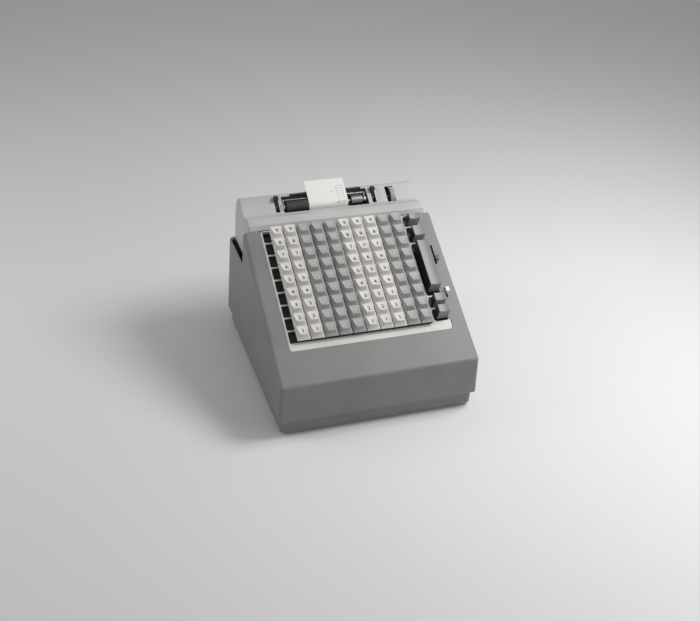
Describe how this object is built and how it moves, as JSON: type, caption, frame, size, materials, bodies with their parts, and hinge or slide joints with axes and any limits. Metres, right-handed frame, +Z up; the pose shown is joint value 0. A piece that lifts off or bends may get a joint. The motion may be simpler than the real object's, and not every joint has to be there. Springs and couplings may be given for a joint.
{
  "type": "full keyboard printing adding machine",
  "caption": "Desk adding machine with a sloping full keyboard of square digit keys, a motor bar and function keys, and a printing carriage under a rear hood with a paper strip.",
  "frame": {"origin": "on the table under the middle of the case", "axes": "+X to the right seen from the front, +Y to the rear, +Z up"},
  "size_m": [0.2766, 0.284, 0.2186],
  "materials": {
    "case_enamel": "dark grey satin enamel",
    "pan_enamel": "dark grey semi matt enamel",
    "hood_enamel": "light grey satin enamel",
    "bezel_enamel": "off white satin enamel",
    "key_pale": "moulded, worn gloss",
    "key_grey": "moulded, worn gloss",
    "function_key_grey": "moulded, worn satin",
    "black_plastic": "moulded black",
    "white_plastic": "moulded white",
    "bright_steel": "turned and plated",
    "dark_steel": "blackened sheet steel",
    "platen_rubber": "ground smooth",
    "foot_rubber": "moulded",
    "paper": "uncoated",
    "card": "wound card",
    "ribbon_cloth": "inked cloth",
    "brass": "milled",
    "motor_iron": "painted casting"
  },
  "bodies": {
    "machine": {"main_case": "case_enamel", "base_pan": "pan_enamel", "hood": "hood_enamel", "keyboard_bezel": "bezel_enamel", "upper_key_plate": "dark_steel", "lower_key_plate": "dark_steel", "side_frame_left": "bright_steel", "side_frame_right": "bright_steel", "cross_rods": "bright_steel", "rubber_feet": "foot_rubber", "base_screws": "bright_steel", "hood_screws": "bright_steel", "key_springs": "bright_steel", "paper_tape": "paper", "roll_spindle": "bright_steel", "ribbon_shelf_left": "dark_steel", "ribbon_shelf_right": "dark_steel", "ink_ribbon": "ribbon_cloth", "type_bar_guide": "dark_steel", "type_bar_rest": "dark_steel", "motor": "motor_iron", "power_inlet": "black_plastic"},
    "platen": {"platen_roller": "platen_rubber", "platen_collar": "bright_steel", "platen_shaft": "bright_steel", "platen_wheel": "black_plastic"},
    "paper_release_lever": {"paper_release_lever": "black_plastic"},
    "line_space_lever": {"line_space_lever": "black_plastic"},
    "paper_bail": {"paper_bail": "bright_steel"},
    "paper_supply": {"paper_roll": "paper", "roll_core": "card"},
    "ribbon_spool_left": {"ribbon_spool_left": "black_plastic"},
    "ribbon_spool_right": {"ribbon_spool_right": "black_plastic"},
    "type_bars": {"type_bars": "bright_steel"},
    "adding_register": {"adding_wheels": "brass", "adding_shaft": "bright_steel"},
    "motor_pinion": {"motor_pinion": "bright_steel"},
    "main_drive": {"main_shaft": "bright_steel", "drive_gear": "bright_steel", "main_cams": "bright_steel"},
    "repeat_lever": {"repeat_lever": "black_plastic"},
    "key_release_lever": {"key_release_lever": "white_plastic"},
    "non_add_key": {"non_add_key": "function_key_grey"},
    "repeat_key": {"repeat_key": "function_key_grey"},
    "motor_bar": {"motor_bar": "function_key_grey"},
    "subtotal_key": {"subtotal_key": "function_key_grey"},
    "total_key": {"total_key": "function_key_grey"},
    "key_column_01": {"key_column_01": "key_pale"},
    "key_column_02": {"key_column_02": "key_pale"},
    "key_column_03": {"key_column_03": "key_grey"},
    "key_column_04": {"key_column_04": "key_grey"},
    "key_column_05": {"key_column_05": "key_grey"},
    "key_column_06": {"key_column_06": "key_pale"},
    "key_column_07": {"key_column_07": "key_pale"},
    "key_column_08": {"key_column_08": "key_pale"},
    "key_column_09": {"key_column_09": "key_grey"},
    "key_column_10": {"key_column_10": "key_grey"}
  },
  "joints": [
    {"name": "key_column_01_press", "type": "slide", "parent": "machine", "child": "key_column_01", "axis": [0, -0.4772, 0.8788], "range_m": [-0.0055, 0], "stiffness_N_per_m": 150, "springref_m": 0.006, "deforming": ["key_springs"]},
    {"name": "key_column_02_press", "type": "slide", "parent": "machine", "child": "key_column_02", "axis": [0, -0.4772, 0.8788], "range_m": [-0.0055, 0], "stiffness_N_per_m": 150, "springref_m": 0.006, "deforming": ["key_springs"]},
    {"name": "key_column_03_press", "type": "slide", "parent": "machine", "child": "key_column_03", "axis": [0, -0.4772, 0.8788], "range_m": [-0.0055, 0], "stiffness_N_per_m": 150, "springref_m": 0.006, "deforming": ["key_springs"]},
    {"name": "key_column_04_press", "type": "slide", "parent": "machine", "child": "key_column_04", "axis": [0, -0.4772, 0.8788], "range_m": [-0.0055, 0], "stiffness_N_per_m": 150, "springref_m": 0.006, "deforming": ["key_springs"]},
    {"name": "key_column_05_press", "type": "slide", "parent": "machine", "child": "key_column_05", "axis": [0, -0.4772, 0.8788], "range_m": [-0.0055, 0], "stiffness_N_per_m": 150, "springref_m": 0.006, "deforming": ["key_springs"]},
    {"name": "key_column_06_press", "type": "slide", "parent": "machine", "child": "key_column_06", "axis": [0, -0.4772, 0.8788], "range_m": [-0.0055, 0], "stiffness_N_per_m": 150, "springref_m": 0.006, "deforming": ["key_springs"]},
    {"name": "key_column_07_press", "type": "slide", "parent": "machine", "child": "key_column_07", "axis": [0, -0.4772, 0.8788], "range_m": [-0.0055, 0], "stiffness_N_per_m": 150, "springref_m": 0.006, "deforming": ["key_springs"]},
    {"name": "key_column_08_press", "type": "slide", "parent": "machine", "child": "key_column_08", "axis": [0, -0.4772, 0.8788], "range_m": [-0.0055, 0], "stiffness_N_per_m": 150, "springref_m": 0.006, "deforming": ["key_springs"]},
    {"name": "key_column_09_press", "type": "slide", "parent": "machine", "child": "key_column_09", "axis": [0, -0.4772, 0.8788], "range_m": [-0.0055, 0], "stiffness_N_per_m": 150, "springref_m": 0.006, "deforming": ["key_springs"]},
    {"name": "key_column_10_press", "type": "slide", "parent": "machine", "child": "key_column_10", "axis": [0, -0.4772, 0.8788], "range_m": [-0.0055, 0], "stiffness_N_per_m": 150, "springref_m": 0.006, "deforming": ["key_springs"]},
    {"name": "non_add_key_press", "type": "slide", "parent": "machine", "child": "non_add_key", "axis": [0, -0.4772, 0.8788], "range_m": [-0.006, 0], "stiffness_N_per_m": 120, "springref_m": 0.006, "deforming": ["key_springs"]},
    {"name": "repeat_key_press", "type": "slide", "parent": "machine", "child": "repeat_key", "axis": [0, -0.4772, 0.8788], "range_m": [-0.006, 0], "stiffness_N_per_m": 120, "springref_m": 0.006, "deforming": ["key_springs"]},
    {"name": "motor_bar_press", "type": "slide", "parent": "machine", "child": "motor_bar", "axis": [0, -0.4772, 0.8788], "range_m": [-0.006, 0], "stiffness_N_per_m": 120, "springref_m": 0.006, "deforming": ["key_springs"]},
    {"name": "subtotal_key_press", "type": "slide", "parent": "machine", "child": "subtotal_key", "axis": [0, -0.4772, 0.8788], "range_m": [-0.006, 0], "stiffness_N_per_m": 120, "springref_m": 0.006, "deforming": ["key_springs"]},
    {"name": "total_key_press", "type": "slide", "parent": "machine", "child": "total_key", "axis": [0, -0.4772, 0.8788], "range_m": [-0.006, 0], "stiffness_N_per_m": 120, "springref_m": 0.006, "deforming": ["key_springs"]},
    {"name": "repeat_lever_slide", "type": "slide", "parent": "machine", "child": "repeat_lever", "axis": [0, 0.8788, 0.4772], "range_m": [-0.003, 0.022]},
    {"name": "key_release_lever_slide", "type": "slide", "parent": "machine", "child": "key_release_lever", "axis": [0, 0.8788, 0.4772], "range_m": [-0.006, 0.004]},
    {"name": "platen_turn", "type": "hinge", "parent": "machine", "child": "platen", "pos_m": [0, 0.1138, 0.19338], "axis": [1, 0, 0], "continuous": true},
    {"name": "paper_release_lever_tilt", "type": "hinge", "parent": "machine", "child": "paper_release_lever", "pos_m": [0, 0.1138, 0.19338], "axis": [1, 0, 0], "range_deg": [0, 70]},
    {"name": "line_space_lever_tilt", "type": "hinge", "parent": "machine", "child": "line_space_lever", "pos_m": [0, 0.1138, 0.19338], "axis": [1, 0, 0], "range_deg": [0, 70]},
    {"name": "paper_bail_lift", "type": "hinge", "parent": "machine", "child": "paper_bail", "pos_m": [0, 0.1138, 0.19338], "axis": [1, 0, 0], "range_deg": [0, 10]},
    {"name": "paper_roll_turn", "type": "hinge", "parent": "machine", "child": "paper_supply", "pos_m": [0, 0.11601, 0.15], "axis": [1, 0, 0], "continuous": true},
    {"name": "ribbon_spool_left_turn", "type": "hinge", "parent": "machine", "child": "ribbon_spool_left", "pos_m": [-0.082, 0.08701, 0.17504], "axis": [0, 0, 1], "continuous": true},
    {"name": "ribbon_spool_right_turn", "type": "hinge", "parent": "machine", "child": "ribbon_spool_right", "pos_m": [0.082, 0.08701, 0.17504], "axis": [0, 0, 1], "continuous": true},
    {"name": "type_bars_lift", "type": "slide", "parent": "machine", "child": "type_bars", "axis": [0, 0, 1], "range_m": [0, 0.012]},
    {"name": "adding_register_turn", "type": "hinge", "parent": "machine", "child": "adding_register", "pos_m": [0, 0.07501, 0.095], "axis": [1, 0, 0], "continuous": true},
    {"name": "main_drive_turn", "type": "hinge", "parent": "machine", "child": "main_drive", "pos_m": [0, 0.05001, 0.055], "axis": [1, 0, 0], "continuous": true},
    {"name": "motor_turn", "type": "hinge", "parent": "machine", "child": "motor_pinion", "pos_m": [0, 0.09801, 0.055], "axis": [1, 0, 0], "continuous": true}
  ],
  "couplings": [
    {"joint": "motor_turn", "follows": "main_drive_turn", "ratio": -3},
    {"joint": "ribbon_spool_right_turn", "follows": "ribbon_spool_left_turn", "ratio": 1}
  ]
}
